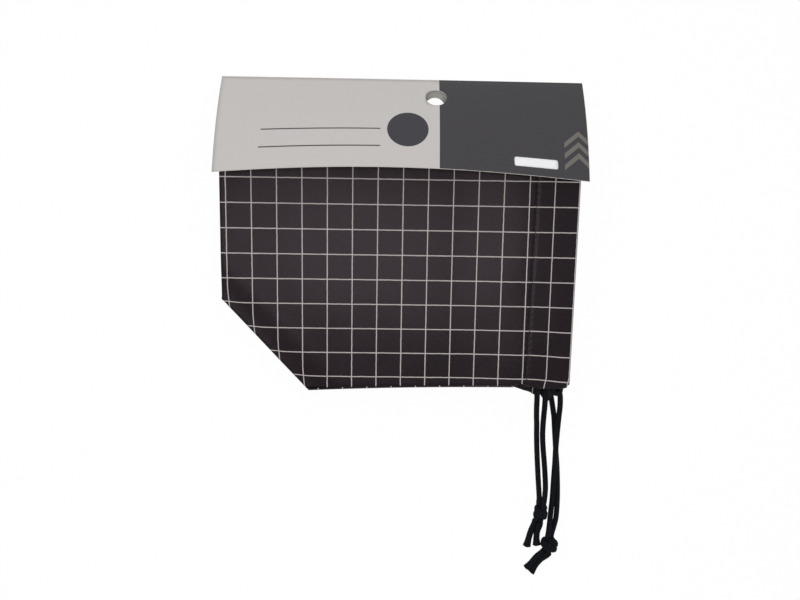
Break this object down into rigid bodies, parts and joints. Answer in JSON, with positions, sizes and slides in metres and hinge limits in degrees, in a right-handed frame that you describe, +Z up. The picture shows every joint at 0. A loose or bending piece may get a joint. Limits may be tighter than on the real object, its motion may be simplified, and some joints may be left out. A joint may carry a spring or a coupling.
{
  "type": "drawstring lunch bag",
  "caption": "Flat-packed drawstring lunch bag of checked cloth, folded in half in a paper header card with a hang hole, its knotted cords hanging out of the side slits.",
  "frame": {"origin": "on the floor, under the middle of the pack without its free cords", "axes": "+X from the bag's base to its mouth, +Y towards the crease of the header card, +Z up"},
  "size_m": [0.1792, 0.2621, 0.0325],
  "materials": {
    "cloth": "black plain-weave polyester with a fine white check",
    "cord": "black braided cord",
    "card": "smooth printed card",
    "sticker": "blank white label paper",
    "tape": "clear adhesive tape"
  },
  "bodies": {
    "back_half": {"back_outer_panel": "cloth", "back_inner_panel": "cloth", "back_gusset": "cloth", "back_side_seam": "cloth", "centre_fold_outer": "cloth", "centre_fold_inner": "cloth", "drawstring_a_turn_outer": "cord", "drawstring_a_turn_inner": "cord", "drawstring_a_bight": "cord", "drawstring_b_turn_outer": "cord", "drawstring_b_turn_inner": "cord", "card_back_flap": "card", "card_tape": "tape"},
    "front_half": {"front_outer_panel": "cloth", "front_inner_panel": "cloth", "front_gusset": "cloth", "front_side_seam": "cloth", "drawstring_b_bight": "cord"},
    "drawstring_a": {"drawstring_a_run_outer": "cord", "drawstring_a_run_inner": "cord", "drawstring_a_strand_outer": "cord", "drawstring_a_strand_inner": "cord", "drawstring_a_knot": "cord", "drawstring_a_tail_outer": "cord", "drawstring_a_tail_inner": "cord"},
    "drawstring_b": {"drawstring_b_run_outer": "cord", "drawstring_b_run_inner": "cord", "drawstring_b_strand_outer": "cord", "drawstring_b_strand_inner": "cord", "drawstring_b_knot": "cord", "drawstring_b_tail_outer": "cord", "drawstring_b_tail_inner": "cord"},
    "card_flap": {"card_front_flap": "card", "card_sticker": "sticker"}
  },
  "joints": [
    {"name": "card_flap_swing", "type": "hinge", "parent": "back_half", "child": "card_flap", "pos_m": [0, 0.07952, 0.00055], "axis": [-1, 0, 0], "range_deg": [0, 135]},
    {"name": "front_half_lift", "type": "hinge", "parent": "back_half", "child": "front_half", "pos_m": [0, 0.05378, 0.00555], "axis": [-1, 0, 0], "range_deg": [0, 20], "deforming": ["centre_fold_outer", "centre_fold_inner", "drawstring_a_turn_outer", "drawstring_a_turn_inner", "drawstring_b_turn_outer", "drawstring_b_turn_inner"]},
    {"name": "drawstring_b_pull", "type": "slide", "parent": "back_half", "child": "drawstring_b", "axis": [0, -1, 0], "range_m": [0, 0.1]},
    {"name": "drawstring_a_pull", "type": "slide", "parent": "front_half", "child": "drawstring_a", "axis": [0, -1, 0], "range_m": [0, 0.1]}
  ],
  "couplings": [
    {"joint": "drawstring_a_pull", "follows": "drawstring_b_pull", "ratio": 1}
  ]
}
